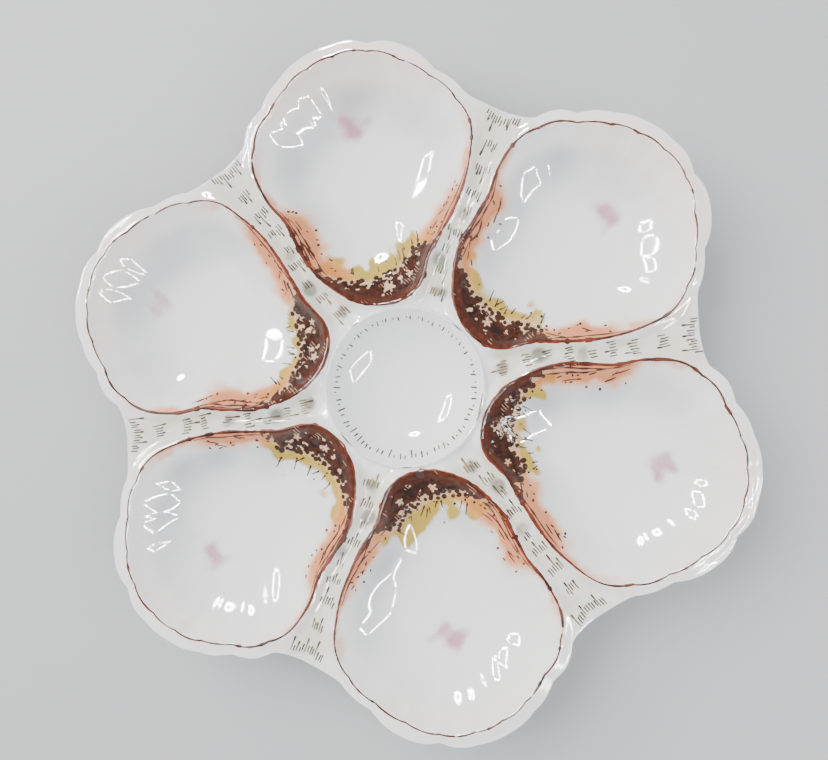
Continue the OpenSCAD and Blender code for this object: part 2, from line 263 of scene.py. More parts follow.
WOBBLE_GRAIN = 26 * MM
DENT = 0.030 * MM
DENT_GRAIN = 9 * MM
WAVE_SHARE, WAVE_SPREAD_SHARE = 0.7, 0.9
PHASES = 7
CALM = 1.6
LAND_SHARE, LAND_SOFT_SHARE = 0.95, 0.28

INNER_R = RING_R + HEEL_GAP / 2
HEEL_R = RING_R + HEEL_GAP
EDGE_INSET = RIM_T / 5
LIP_TUCK = RIM_T / 10
NOTCH_R = PLATE_W / 2 - EDGE_INSET - NOTCH_D
TIP_R = PLATE_W / 2 - EDGE_INSET - MARGIN - SCALLOP_D
MID_Y = (HEEL_R + TIP_R) / 2
HALF_L = (TIP_R - HEEL_R) / 2
SLANT = math.radians(HALF_SECTOR)
HALF_W = BELLY_SHARE * (MID_Y * math.sin(SLANT) - CHANNEL_W / 2) / math.cos(SLANT)
WELL_FLOOR = FOOT_H + WALL
EDGE_H = RIM_H - RIM_T / 3
NOTCH_H = RIM_H - CHANNEL_D
GROOVE_H = HEEL_H - CHANNEL_D / 2


def lerp(a, b, t):
    """The value a share t of the way from a to b."""
    return a + (b - a) * t


def ease(t):
    """Half a cosine wave from 0 to 1, flat at both ends."""
    return (1 - np.cos(np.pi * np.clip(t, 0, 1))) / 2


def rise(value, start, over):
    """0 up to start and 1 from start + over on, eased between."""
    return ease((value - start) / over)


def fall(value, end, over):
    """1 up to end - over and 0 from end on, eased between."""
    return ease((end - value) / over)


def through(values, angle):
    """A smooth closed curve through values at equal steps of a turn. Each span is a cubic, and
    its slope at a value is half the difference of the two values beside it."""
    u = np.asarray(angle) % 360 * len(values) / 360
    i = np.floor(u).astype(int)
    t = u - i
    a, b, c, d = (values[(i + k) % len(values)] for k in (-1, 0, 1, 2))
    return b + (c - a) * t / 2 + (2 * a - 5 * b + 4 * c - d) * t**2 / 2 \
        + (3 * b - a - 3 * c + d) * t**3 / 2


def reach(angle):
    """Length of one share from a well's centre: the radius of its ellipse at an angle."""
    turn = np.radians(angle)
    return np.hypot(HALF_W * np.cos(turn), HALF_L * np.sin(turn))


def ripple(x, y, grain, seed, waves=9):
    """Soft noise between about -1 and 1: plane sine waves in seeded directions, WAVE_SHARE of
    the grain long or up to WAVE_SPREAD_SHARE more, added up and divided by CALM times their
    root mean square."""
    draw = np.random.default_rng(seed)
    total = np.zeros(np.broadcast(x, y).shape)
    for turn, length, phase in draw.random((waves, 3)):
        k = 2 * np.pi / (grain * (WAVE_SHARE + WAVE_SPREAD_SHARE * length))
        along = x * np.cos(2 * np.pi * turn) + y * np.sin(2 * np.pi * turn)
        total += np.sin(k * along + PHASES * phase)
    return total / math.sqrt(waves / 2) / CALM


def channel_angle(r):
    """The middle of a channel: the half sector less a bell-shaped bow near the heels."""
    t = (r - INNER_R) / (NOTCH_R - INNER_R)
    return HALF_SECTOR - CHANNEL_BOW * np.exp(-((t - BOW_SHARE) / BOW_SPREAD_SHARE) ** 2)


def channel_height(r):
    """The channel's floor rises from the sauce well to the notch by a power of the way out."""
    t = np.clip((r - INNER_R) / (NOTCH_R - INNER_R), 0, 1)
    return lerp(HEEL_H - CHANNEL_D, NOTCH_H, t**CHANNEL_POWER)


def angle_of(x, y):
    """The angle of a point round the well's ellipse, in degrees anticlockwise from +X."""
    return np.degrees(np.arctan2((y - MID_Y) / HALF_L, x / HALF_W)) % 360


NOTCH_ANGLE = float(angle_of(NOTCH_R * math.sin(SLANT), NOTCH_R * math.cos(SLANT)))
CUSPS = np.array([NOTCH_ANGLE, *CUSP_ANGLES, 180 - NOTCH_ANGLE])
SCALLOPS = len(CUSPS) - 1


def scallop_place(angle):
    """Where an angle lies along the lobe's edge: a whole number at each cusp."""
    return np.interp(angle, CUSPS, np.arange(SCALLOPS + 1.0))


def crest_share(angle):
    """The crest's outline as a share of the well's ellipse: the curve through CREST_SHARES,
    less a pinch at each cusp that dies away exponentially beside it."""
    angle = np.asarray(angle) % 360
    place = scallop_place(angle)
    nearest = np.clip(np.round(place), 1, SCALLOPS - 1)
    off = np.abs(angle - CUSPS[nearest.astype(int)]) * np.pi / 180 * reach(angle)
    pinch = PINCH / reach(angle) * np.exp(-off / (MARGIN * PINCH_SHARE))
    return through(CREST_SHARES, angle) - pinch


def crest_height(angle):
    """The crest rises from the heel to the rim by a power of the way up the lobe."""
    lift = np.maximum(0, (1 + crest_share(angle) * np.sin(np.radians(angle))) / 2)
    return lerp(HEEL_H, RIM_H, lift**CREST_POWER)


def edge_radius(angle):
    """Distance of the edge from the well's centre: the crest, the margin, a swelling for
    each scallop and a flare out to the notch at both ends of the lobe."""
    place = scallop_place(angle)
    i = np.minimum(np.floor(place), SCALLOPS - 1).astype(int)
    f = place - i
    base = MARGIN * lerp(MARGIN_SHARES[i], MARGIN_SHARES[i + 1], f)
    near = np.maximum(0, np.maximum(1 - place, place - SCALLOPS + 1))
    end = np.where(place < 1, NOTCH_ANGLE, 180 - NOTCH_ANGLE)
    notch = math.hypot(NOTCH_R * math.sin(SLANT), NOTCH_R * math.cos(SLANT) - MID_Y)
    flare = notch - through(CREST_SHARES, end) * reach(end) - base
    return through(CREST_SHARES, angle) * reach(angle) + base \
        + SCALLOP_D * SCALLOP_SHARES[i] * np.sin(np.pi * f) + flare * near**2


def turned(points, k):
    """Points of the first lobe carried to lobe k, by a turn about the plate's axis."""
    a = 2 * np.pi * k / LOBES
    out = np.array(points, dtype=float)
    out[..., 0] = points[..., 0] * np.cos(a) - points[..., 1] * np.sin(a)
    out[..., 1] = points[..., 0] * np.sin(a) + points[..., 1] * np.cos(a)
    return out


def field_loop(heel_n, side_n, edge_n):
    """The border of one lobe, anticlockwise: heel arc, channel, edge and channel."""
    t = np.linspace(-1, 1, heel_n + 1)[1:-1]
    arc = np.radians(HALF_SECTOR * t)
    heel = np.stack([INNER_R * np.sin(arc), INNER_R * np.cos(arc),
                     lerp(GROOVE_H, channel_height(INNER_R), t * t)], 1)
    r = np.linspace(INNER_R, NOTCH_R, side_n + 1)
    side = np.radians(channel_angle(r))
    right = np.stack([r * np.sin(side), r * np.cos(side), channel_height(r)], 1)
    left = turned(right, 1)
    angle = np.interp(np.linspace(0, SCALLOPS, edge_n + 1)[1:-1], np.arange(SCALLOPS + 1.0), CUSPS)
    out = edge_radius(angle) / reach(angle)
    x = out * HALF_W * np.cos(np.radians(angle))
    y = MID_Y + out * HALF_L * np.sin(np.radians(angle))
    edge = np.stack([x, y, lerp(EDGE_H, NOTCH_H, (np.arctan2(x, y) / SLANT) ** 2)], 1)
    return heel, right, edge, left


def whole_field(*counts):
    """The same border as one closed ring of points."""
    heel, right, edge, left = field_loop(*counts)
    return np.concatenate([left[:1], heel, right, edge, left[:0:-1]])


# The border sampled finely, to look up its distance and height by angle.
FINE_N = (60, 160, 600)
fine = whole_field(*FINE_N)
fine = fine[np.argsort(angle_of(fine[:, 0], fine[:, 1]))]
FIELD_ANGLE = angle_of(fine[:, 0], fine[:, 1])
FIELD_R = np.hypot(fine[:, 0], fine[:, 1] - MID_Y)
FIELD_H = fine[:, 2]


def well_coordinates(x, y):
    """Share of the way from the well's centre to its crest, the angle, and the distance
    outside the crest."""
    angle = angle_of(x, y)
    span = np.hypot(x / HALF_W, (y - MID_Y) / HALF_L)
    crest = crest_share(angle)
    return span / crest, angle, (span - crest) * reach(angle)


def top_height(x, y, lobe):
    """The upper surface of a lobe. Inside the crest the bowl rises with the cube of the
    share and rounds over at the crest. Outside, the flank falls half a cosine to the field.
    Flutes follow the scallops, a slow wobble runs through the bowl, and small dents through
    all but the crest and the border."""
    share, angle, out = well_coordinates(x, y)
    crest = crest_height(angle)
    below = (crest - WELL_FLOOR) * (1 - np.minimum(share, 1) ** BOWL_POWER)
    bowl = crest - below * (1 - np.exp(-below / CREST_ROUND))
    rim = np.interp(angle, FIELD_ANGLE, FIELD_R, period=360)
    low = np.interp(angle, FIELD_ANGLE, FIELD_H, period=360)
    room = np.maximum(rim - crest_share(angle) * reach(angle), 0.1 * MM)
    flank = lerp(crest, low, ease(out / np.minimum(room, FLANK_W)))
    height = np.where(share < 1, bowl, flank)
    swell = np.sin(np.pi * (scallop_place(angle) % 1))
    band = rise(share, 0.55, 0.3) * fall(share, 1, 0.1)
    height = height - FLUTE * (swell - 0.5) * band * (np.sin(np.radians(angle)) > 0)
    px, py = np.moveaxis(turned(np.stack([x, y], -1), lobe), -1, 0)
    clear = rise(np.abs(out), 0.3 * MM, 2 * MM) * fall(np.hypot(x, y - MID_Y), rim, MM)
    dent = rise(share, 0.2, 0.3) * clear
    return height + WOBBLE * fall(share, 1, 0.2) * ripple(px, py, WOBBLE_GRAIN, 5) \
        + DENT * dent * ripple(px, py, DENT_GRAIN, 6, 14)


def sauce_height(r, low):
    """The sauce well: half a cosine up from the groove outside, a raised round ring, and inside
    it a bowl that rises by a power of the radius."""
    shoulder = RING_R - RING_W / 2
    top = RING_H - RING_W / 2
    bowl = lerp(WELL_FLOOR, top, np.minimum(r / shoulder, 1) ** SAUCE_POWER)
    bead = RING_W / 2 * np.cos(np.pi / 2 * np.clip((RING_R - r) / (RING_W / 2), 0, 1)) ** 2
    outside = lerp(low, RING_H, fall(r, INNER_R, INNER_R - RING_R))
    return np.where(r > RING_R, outside, bowl + bead)


def under_height(x, y):
    """The underside follows the wells and the sauce well one wall lower, and is flat in a
    ring that seats the foot."""
    r = np.hypot(x, y)
    angle = np.degrees(np.arctan2(x, y))
    lobe = np.round(-angle / SECTOR)
    local = angle + lobe * SECTOR
    side = channel_angle(r)
    local = np.where(local > side, local - SECTOR, local)
    local = np.where(local < side - SECTOR, local + SECTOR, local)
    turn = np.radians(local)
    share = well_coordinates(r * np.sin(turn), r * np.cos(turn))[0] / UNDER_SHARE
    share = np.where(r < INNER_R, (r / INNER_R) ** (SAUCE_POWER / BOWL_POWER), share)
    height = lerp(FOOT_H, channel_height(r) - WALL, np.minimum(share, 1) ** BOWL_POWER)
    land = fall(np.abs(r - FOOT_R), FOOT_T * LAND_SHARE, FOOT_T * LAND_SOFT_SHARE)
    return lerp(height, FOOT_H, land)


def grid_faces(rows, cols, first=0, closed=True):
    """Quads of a grid of points stored row by row, from outer row to inner row."""
    j = np.arange(cols if closed else cols - 1)
    i = np.arange(rows - 1)[:, None]
    a, b = first + i * cols + j, first + i * cols + (j + 1) % cols
    return np.stack([a, b, b + cols, a + cols], -1).reshape(-1, 4)


SHARP = math.radians(50)


def closed_piece(name, points, faces, marks, weld=1e-6):
    """A mesh object with welded seams, faces outwards and smooth but for edges sharper than
    SHARP, carrying float marks."""
    mesh = bpy.data.meshes.new(name)
    mesh.from_pydata(points.tolist(), [], faces.tolist())
    for mark, values in marks.items():
        mesh.attributes.new(mark, "FLOAT", "POINT").data.foreach_set("value", values.ravel())
    shape = bmesh.new()
    shape.from_mesh(mesh)
    bmesh.ops.remove_doubles(shape, verts=shape.verts, dist=weld)
    bmesh.ops.recalc_face_normals(shape, faces=shape.faces)
    shape.to_mesh(mesh)
    shape.free()
    mesh.polygons.foreach_set("use_smooth", np.ones(len(mesh.polygons), bool))
    mesh.set_sharp_from_angle(angle=SHARP)
    piece = bpy.data.objects.new(name, mesh)
    bpy.context.scene.collection.objects.link(piece)
    return piece


# Points along a lobe's heel, channel and edge, and rows of them in each band of the body.
BORDER_N = (36, 52, 90)
WELL_ROWS, FLANK_ROWS, SAUCE_ROWS, LIP_ROWS, UNDER_ROWS = 36, 16, 26, 7, 18
RING_SHARE = 0.88

# How far in from the crest the heel's enamel reaches, at angles round the well.
HEEL_STATIONS = (214, 228, 236, 246, 256, 266, 276, 286, 294, 301, 307, 322)
HEEL_DEPTHS = np.array([0.0, 0.9, 2.2, 5.0, 7.6, 10.0, 11.4, 11.4, 9.4, 5.4, 1.6, 0.0]) * MM

# Where the washes start and end and how wide they are, in mm. Sides and lobes differ.
PEACH_FROM, PEACH_TO, PEACH_WIDE = (32, 35), (70, 73), (7.4, 5.8)
TINT_TO, TINT_WIDE = 97, 3.6
CREAM_WIDE = 1.3
OCHRE_WIDE = 7.0
SPOT_WIDE, SPOT_TALL = 4.6, 3.4
IVORY_FROM, IVORY_TO = 27, 100
BLUSH_FROM = 84
BLUSHES = (1.0, 0.5, 0.35, 0.35, 0.5, 0.9)
GREY_PATCHES = ((33.0, 3.2, 0.8), (44.0, 3.8, 1.0), (58.5, 3.2, 0.65))
GREY_PATCH_SHIFTS = np.random.default_rng(95).uniform(-1, 1, (LOBES, len(GREY_PATCHES), 2))
MAUVES = (1.0, 0.6, 0.75, 0.95, 0.95, 0.85)
OCHRES = (1.1, 0.75, 0.9, 1.15, 0.9, 0.8)
# The side of the plate, in degrees round the first well, towards which each well gets painted
# shade.
SHADE_SIDE = 122
SPOTS = ((-3.5, 89.8), (-1.8, 91.0), (-0.5, 86.6), (-0.4, 83.7), (-4.8, 86.5), (-1.5, 86.5))


def washes(x, y, lobe):
    """Float marks of a lobe, 0 to about 1: peach sides trailing off as a tint, cream heel, ochre
    fringe in patches, mauve spot, grey-green patches and ivory in the channels, faint blush,
    painted shade on the wells' slopes towards one side of the plate and painted light just
    inside the outer crest. Each is a product of smooth steps."""
    share, angle, out = well_coordinates(x, y)
    depth = -out / MM
    px, py = x / MM, y / MM
    shift = np.random.default_rng(300 + lobe).uniform(-1, 1, 8)
    rag = ripple(x, y, 13 * MM, 40 + lobe) + 0.5 * ripple(x, y, 5 * MM, 50 + lobe)
    inside = rise(depth, -0.6, 0.8)
    left = rise(py, PEACH_FROM[0] + 2 * shift[0], 5) * fall(py, PEACH_TO[0] + 4 * shift[1], 12)
    right = rise(py, PEACH_FROM[1] + 2 * shift[2], 5) * fall(py, PEACH_TO[1] + 5 * shift[3], 18)
    wide = np.where(px < 0, PEACH_WIDE[0] + 1.4 * shift[4], PEACH_WIDE[1] + 1.2 * shift[5])
    wide = wide * (1 + 0.16 * rag)
    peach = inside * (left * (px < 0) + right * (px > 0)) * fall(depth, wide * 1.4, wide * 1.05)
    tint = inside * fall(depth, TINT_WIDE + 1.2 * rag, 3.2) * fall(py, TINT_TO, 30) * 0.62
    beyond = depth - np.interp(angle, HEEL_STATIONS, HEEL_DEPTHS) / MM
    heel = inside * rise(angle, 222, 10) * fall(angle, 318, 10)
    cream = heel * fall(beyond, CREAM_WIDE + 0.5 * rag, 2.0)
    blob = ripple(x, y, 7 * MM, 60 + lobe, 12)
    patch = OCHRES[lobe] * (0.65 + 0.35 * rise(ripple(x, y, 15 * MM, 70 + lobe), -0.75, 0.7))
    ochre = heel * fall(beyond, OCHRE_WIDE * patch + 2.4 * blob + 0.8 * shift[6], 3.2)
    ochre = ochre * rise(beyond, -1.6, 2.4) * np.minimum(1, 1.2 * patch)
    spot_x, spot_y = SPOTS[lobe]
    spot = np.hypot((px - spot_x) / (SPOT_WIDE + shift[7]), (py - spot_y) / SPOT_TALL)
    spot = spot + 0.42 * ripple(x, y, 7 * MM, 80 + lobe)
    mauve = MAUVES[lobe] * (0.75 * fall(spot, 1.45, 1.3) + 0.25 * fall(spot, 2.5, 2))
    # Grey-green patches, darker than the ground, on both halves of each channel.
    grey_patch = np.zeros(x.shape)
    waver = 0.5 * ripple(*np.moveaxis(turned(np.stack([x, y], -1), lobe), -1, 0), 6 * MM, 90)
    for channel, turn in ((lobe, 0), ((lobe + 1) % LOBES, SECTOR)):
        for (r, size, full), (along, aside) in zip(GREY_PATCHES, GREY_PATCH_SHIFTS[channel]):
            r = r + 2 * along
            a = np.radians(channel_angle(r * MM) + 1.5 * aside - turn)
            far = np.hypot(px - r * np.sin(a), py - r * np.cos(a)) + waver
            grey_patch = np.maximum(grey_patch, full * fall(far, size, size / 1.5))
    blush = rise(py, BLUSH_FROM, 22) * (0.35 + 0.5 * fall(depth, 12, 10)) * rise(depth, -6, 5)
    # Painted shade: bluish grey on the mid slopes of each well that face one fixed side of the
    # plate.
    tilt = (0.5 + 0.5 * np.cos(np.radians(angle - SHADE_SIDE + SECTOR * lobe))) ** 1.5
    painted_shade = tilt * rise(share, 0.38, 0.34) * fall(share, 0.93, 0.16)
    painted_shade = painted_shade * (0.75 + 0.25 * ripple(x, y, 20 * MM, 120 + lobe))
    # Painted light: lighter, faintly warm colour just inside the crest round the outer half of each
    # well.
    painted_light = rise(np.sin(np.radians(angle)), -0.5, 0.9) * rise(share, 0.80, 0.16)
    middle = np.hypot(px, py)
    ivory = fall(depth, 0.4, 1.6) * fall(middle, IVORY_TO, 12) * rise(middle, IVORY_FROM, 7)
    ivory = ivory * (0.78 + 0.28 * ripple(x, y, 10 * MM, 110 + lobe))
    return {"peach": np.maximum(peach, tint), "cream": cream, "ochre": ochre, "mauve": mauve,
            "grey_patch": grey_patch * fall(depth, 0.12, 1.2), "ivory": ivory,
            "blush": blush * BLUSHES[lobe], "painted_shade": painted_shade, "painted_light": painted_light * fall(share, 1.12, 0.06)}


WASHES = ("peach", "cream", "ochre", "mauve", "grey_patch", "ivory", "blush", "painted_shade", "painted_light")
body_points, body_faces, body_marks = [], [], []


def add_rows(rows, marks):
    """Adds a closed band of rows of points, outer row first, to the body."""
    first = sum(len(p) for p in body_points)
    body_points.append(rows.reshape(-1, 3))
    body_faces.append(grid_faces(rows.shape[0], rows.shape[1], first))
    none = np.zeros(rows.shape[:2])
    body_marks.append({name: marks.get(name, none).ravel() for name in WASHES})


field = whole_field(*BORDER_N)
field_angle = angle_of(field[:, 0], field[:, 1])
crest_r = crest_share(field_angle) * reach(field_angle)
field_r = np.hypot(field[:, 0], field[:, 1] - MID_Y)
flank_t = np.linspace(1, 0, FLANK_ROWS + 1)[:-1, None] ** 1.2
well_t = np.sin(np.linspace(1, 0, WELL_ROWS + 1) * np.pi / 2)[:, None]
radius = np.concatenate([lerp(crest_r, field_r, flank_t), crest_r * well_t])
x = radius * (field[:, 0] / field_r)
y = MID_Y + radius * ((field[:, 1] - MID_Y) / field_r)
for lobe in range(LOBES):
    z = top_height(x, y, lobe)
    z[0] = field[:, 2]
    add_rows(turned(np.stack([x, y, z], -1), lobe), washes(x, y, lobe))

heel_arc, right_side, edge_arc, _ = field_loop(*BORDER_N)
inner = np.concatenate([right_side[:1], heel_arc[::-1]])
inner = np.concatenate([turned(inner, k) for k in range(LOBES)])
outer_shares = np.linspace(1, RING_SHARE, SAUCE_ROWS // 2)
inner_turn = np.linspace(RING_SHARE, 0, SAUCE_ROWS // 2 + 1)[1:] * np.pi / 2
inner_shares = np.sin(inner_turn) / np.sin(RING_SHARE * np.pi / 2) * RING_SHARE
sauce_r = INNER_R * np.concatenate([outer_shares, inner_shares])
direction = inner[:, :2] / np.hypot(inner[:, 0], inner[:, 1])[:, None]
add_rows(np.concatenate([sauce_r[:, None, None] * direction,
                         sauce_height(sauce_r[:, None], inner[:, 2])[..., None]], -1), {})

edge = np.concatenate([right_side[-1:], edge_arc])
edge = np.concatenate([turned(edge, k) for k in range(LOBES)])
edge_r = np.hypot(edge[:, 0], edge[:, 1])
out_dir = edge[:, :2] / edge_r[:, None]
lip = np.linspace(0, np.pi, LIP_ROWS)
lip_out = EDGE_INSET * np.sin(lip)
lip_in = LIP_TUCK * (1 - np.cos(lip)) / 2
lip_r = edge_r + (lip_out - lip_in)[:, None]
lip_z = edge[:, 2] - (RIM_T / 2 * (1 - np.cos(lip)))[:, None]
under_t = np.linspace(1, 0, UNDER_ROWS + 1)[1:, None]
under_r = lip_r[-1] * under_t
under_x, under_y = under_r * out_dir[:, 0], under_r * out_dir[:, 1]
under_h = under_height(under_x, under_y)
under_z = lerp(np.minimum(lip_z[-1], under_h), under_h, fall(under_t, 1, 0.12))
add_rows(np.concatenate([
    np.stack([lip_r * out_dir[:, 0], lip_r * out_dir[:, 1], lip_z], -1),
    np.stack([under_x, under_y, np.minimum(under_z, lip_z[-1])], -1),
]), {})

marks = {name: np.concatenate([part[name] for part in body_marks]) for name in WASHES}
body = closed_piece("body", np.concatenate(body_points), np.concatenate(body_faces), marks)


# The coats, lowest first: mark, strength and colour. The first two are painted shade and
# painted light. Brushed ones also have how uneven the brush left them and the mark from
# which they are full.
SHADE_AND_LIGHT_COATS = (("painted_shade", 0.80, (0.46, 0.47, 0.505)), ("painted_light", 0.70, (0.92, 0.88, 0.86)))
BRUSHED_COATS = (
    ("ivory", 0.2, 1.0, 0.60, (0.64, 0.58, 0.40)),
    ("blush", 0.5, 0.85, 0.45, (0.98, 0.72, 0.58)),
    ("grey_patch", 0.3, 1.0, 0.80, (0.145, 0.14, 0.098)),
    ("mauve", 0.5, 1.0, 0.90, (0.49, 0.22, 0.30)),
    ("ochre", 0.35, 0.85, 0.97, (0.46, 0.31, 0.03)),
)
PEACH_LIGHT, PEACH_DEEP = (0.84, 0.33, 0.12), (0.63, 0.185, 0.04)
CREAM = (0.62, 0.36, 0.18)


def porcelain(wire):
    """White glaze, faintly cool, under painted shade, painted light and fired coats that each cover
    by mark times strength.
    """
    brush = wire.noise(2.2 * MM, 4.0, 0.6)
    broad = wire.noise(30 * MM, 2.0)
    white = broad.mix((0.81, 0.81, 0.785), (0.84, 0.835, 0.82))

    def brushed(name, uneven, full):
        """The mark with its edge moved by the brush's noise."""
        moved = (brush - 0.5) * uneven * wire.mark(name).step(0.0, 0.3)
        return (wire.mark(name) + moved).step(0.02, full)

    colour = white
    # Painted shade and painted light go on first, then the brushed coats.
    for name, strength, tint in SHADE_AND_LIGHT_COATS:
        colour = (wire.mark(name) * strength).mix(colour, tint)
    for name, uneven, full, strength, tint in BRUSHED_COATS:
        colour = (brushed(name, uneven, full) * strength).mix(colour, tint)
    peach = (wire.mark("peach") + brush * 0.4).step(0.55, 1.15).mix(PEACH_LIGHT, PEACH_DEEP)
    cover = brushed("peach", 0.35, 0.8) * (0.92 - wire.mark("ochre") * 0.22)
    colour = (brushed("cream", 0.4, 0.85) * 0.88).mix(cover.mix(colour, peach), CREAM)
    skin = wire.noise(9 * MM, 1.0) * 0.7 + wire.noise(1.1 * MM, 2.0) * 0.03
    return {"Base Color": colour, "Roughness": broad.step(0.3, 0.7, 0.03, 0.07), "IOR": 1.52,
            "Subsurface Weight": 0.06, "Subsurface Radius": (1.0, 0.9, 0.8),
            "Subsurface Scale": 2 * MM, "Normal": wire.bump(skin, 0.05 * MM)}


body.data.materials.append(finish_named("glazed_porcelain", porcelain))
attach(body, "root")
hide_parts("porcelain_body")


# The foot ring. A low turned ring under the wells, glazed on its sides and ground bare on
# the face that stands on the table.
FOOT_FACE = 3 * MM
FOOT_COLS = 240
face_in, face_out = FOOT_R - FOOT_FACE / 2, FOOT_R + FOOT_FACE / 2
top_in, top_out = FOOT_R - FOOT_T / 2, FOOT_R + FOOT_T / 2
EASED = 0.35 * MM
SIDE_SHARES = ((0.86, 0.66), (0.66, 0.33))
foot_profile = np.array([
    (top_out, FOOT_H), *((lerp(face_out, top_out, u), FOOT_H * v) for u, v in SIDE_SHARES),
    (face_out + EASED / 2, EASED * 1.5), (face_out, EASED / 2), (face_out - EASED, 0),
    (face_in + EASED, 0), (face_in, EASED / 2), (face_in - EASED / 2, EASED * 1.5),
    *((lerp(face_in, top_in, u), FOOT_H * v) for u, v in SIDE_SHARES[::-1]), (top_in, FOOT_H),
    (top_out, FOOT_H),
])
spin = np.linspace(0, 2 * np.pi, FOOT_COLS, endpoint=False)
foot_rows = np.stack([
    foot_profile[:, :1] * np.cos(spin), foot_profile[:, :1] * np.sin(spin),
    np.broadcast_to(foot_profile[:, 1:], (len(foot_profile), FOOT_COLS)),
], -1)
bare = np.broadcast_to(fall(foot_profile[:, 1:], EASED * 1.6, EASED), foot_rows.shape[:2])
foot = closed_piece("foot", foot_rows.reshape(-1, 3), grid_faces(*foot_rows.shape[:2]),
                    {"bare": bare})


def foot_finish(wire):
    """Glaze above, and below it dry ground porcelain with a little table dirt in its grain."""
    dry = wire.mark("bare").step(0.3, 0.7)
    dirt = wire.noise(0.5 * MM, 4.0) * wire.noise(9 * MM, 2.0)
    ground = dirt.step(0.2, 0.42).mix((0.70, 0.67, 0.60), (0.42, 0.38, 0.32))
    colour = dry.mix((0.74, 0.74, 0.73), ground)
    return {"Base Color": colour, "Roughness": dry.step(0.0, 1.0, 0.1, 0.8), "Coat Roughness": 0.05,
            "Normal": wire.bump(wire.noise(0.3 * MM) * dry, 0.04 * MM)}


foot.data.materials.append(finish_named("foot_bisque", foot_finish))
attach(foot, "root")
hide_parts("foot_ring")


# The line along each crest. Red-brown enamel drawn with a brush, thin round the outer end
# and heavy along the sides, with gaps where it ran dry and swellings where it paused.
LINE_N = 620
LINE_LIFT = 0.14 * MM
SINK = 0.12 * MM
BED = 0.01 * MM
LINE_MIN = 0.05 * MM
LINE_W = 0.66 * MM

# How far the brush drifts in mm, how much it swells the line at a pause, and the grains of
# both and of the gaps in degrees round the well.
DRIFT, DRIFT_GRAIN = 0.08, 23
PAUSE, PAUSE_GRAIN = 0.7, 7
GAP_GRAIN = 9

# The line's width round the well, as shares of LINE_W, and the cross-sections of strokes.
LINE_SHARES = np.array([
    0.52, 0.46, 0.40, 0.37, 0.35, 0.35, 0.35, 0.35, 0.36, 0.40, 0.47, 0.58,
    0.72, 0.84, 0.94, 1.00, 1.00, 0.90, 0.85, 0.90, 1.00, 0.94, 0.78, 0.62,
])
RIDGE = ((-1.0, 0.45), (0.0, 1.0), (1.0, 0.45))
BAND = ((-1.0, 0.3), (-0.6, 0.85), (0.0, 1.0), (0.6, 0.85), (1.0, 0.3))


def drawn(xy, half, lift, height, section=RIDGE, closed=False):
    """Brush strokes as low ridges. xy (n, m, 2) are n centre lines of m points, half (n, m)
    their half widths. Each station has the section's points, as shares of the half width
    and of the lift, laid on the surface, and one buried point below."""
    along = np.roll(xy, -1, 1) - np.roll(xy, 1, 1)
    if not closed:
        along[:, 0], along[:, -1] = xy[:, 1] - xy[:, 0], xy[:, -1] - xy[:, -2]
    along = along / np.maximum(np.hypot(along[..., 0], along[..., 1]), 1e-9)[..., None]
    across = np.stack([-along[..., 1], along[..., 0]], -1) * half[..., None]
    rings = []
    for aside, up in section:
        at = xy - aside * across
        rings.append(np.concatenate([at, (height(at) + lift * up - BED)[..., None]], -1))
    rings.append(np.concatenate([xy, (height(xy) - SINK)[..., None]], -1))
    n, m = xy.shape[:2]
    sides = len(rings)
    i = np.arange(m if closed else m - 1)[:, None]
    j = np.arange(sides)
    here, there = i * sides + j, (i + 1) % m * sides + j
    near, far = i * sides + (j + 1) % sides, (i + 1) % m * sides + (j + 1) % sides
    one = np.stack([here, there, far, near], -1).reshape(-1, 4)
    if not closed:
        last = (m - 1) * sides
        one = np.concatenate([one, [[0, 1, 2, 3], [last + 3, last + 2, last + 1, last]]])
    faces = (one[None] + (np.arange(n) * m * sides)[:, None, None]).reshape(-1, 4)
    return np.stack(rings, 2).reshape(-1, 3), faces


def on_lobe(lobe):
    """The upper surface of a lobe, as a function of points."""
    return lambda xy: top_height(xy[..., 0], xy[..., 1], lobe)


def beside_crest(angle, inward):
    """Points of a lobe at an angle round its well and a distance inside the crest."""
    out = crest_share(angle) - inward / reach(angle)
    turn = np.radians(angle)
    return np.stack([out * HALF_W * np.cos(turn), MID_Y + out * HALF_L * np.sin(turn)], -1)


def enamel_line(wire):
    """Red-brown enamel, darker where the brush was full."""
    load = wire.noise(6 * MM, 3.0)
    thin = load.step(0.45, 0.66).mix((0.125, 0.040, 0.024), (0.030, 0.013, 0.009))
    full = load.step(0.42, 0.64).mix((0.18, 0.030, 0.012), (0.045, 0.009, 0.005))
    return {"Base Color": wire.mark("heavy").mix(thin, full), "Roughness": 0.3, "IOR": 1.25}


line_enamel = finish_named("line_enamel", enamel_line)
angle = np.linspace(0, 360, LINE_N, endpoint=False)
outer = np.sin(np.radians(angle))
heavy = np.repeat(fall(outer, 0.35, 0.9), len(BAND) + 1)
for lobe in range(LOBES):
    drift = ripple(angle, 0, DRIFT_GRAIN, 500 + lobe) * DRIFT * MM
    pause = rise(ripple(angle, 9, PAUSE_GRAIN, 580 + lobe), 0.9, 0.3)
    waver = 0.22 * ripple(angle, 0, 17, 520 + lobe) + 0.16 * ripple(angle, 0, 5, 540 + lobe)
    gap = rise(ripple(angle, 3, GAP_GRAIN, 560 + lobe), -1.35, 0.15)
    width = LINE_W * through(LINE_SHARES, angle) * (1 + waver + PAUSE * pause)
    width = np.maximum(width * lerp(1, gap, outer > 0.3), LINE_MIN)
    lift = (LINE_LIFT * np.clip(width / (0.3 * MM), 0.4, 1))[None]
    xy = beside_crest(angle, drift)[None]
    points, faces = drawn(xy, width[None], lift, on_lobe(lobe), BAND, closed=True)
    line = closed_piece(f"crest_line_{lobe + 1}", turned(points, lobe), faces, {"heavy": heavy})
    line.data.materials.append(line_enamel)
    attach(line, "root")
    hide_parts(f"rim_line_{lobe + 1}")


